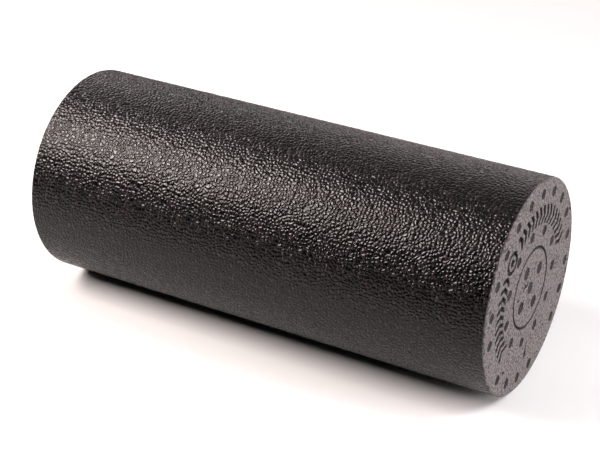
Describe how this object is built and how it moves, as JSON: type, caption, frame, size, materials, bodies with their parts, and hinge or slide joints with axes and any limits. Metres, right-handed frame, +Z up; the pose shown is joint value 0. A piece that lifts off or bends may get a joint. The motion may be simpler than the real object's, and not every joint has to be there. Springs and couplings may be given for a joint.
{
  "type": "foam roller",
  "caption": "Firm cylindrical massage roller of black moulded bead foam, with a pressed-in centre core, vent marks and a plain engraved ornament on its end faces.",
  "frame": {"origin": "on the floor under the middle of the roller, as it lies on its side", "axes": "+X along the roller to the end face shown in the picture, +Z up, +Y to the right of someone looking at that end face"},
  "size_m": [0.33, 0.14, 0.14],
  "materials": {
    "bead_foam": "satin pebbled skin",
    "core_foam": "matte fine pebbled"
  },
  "bodies": {
    "root": {"roller_body": "bead_foam", "centre_core": "core_foam"}
  },
  "joints": []
}
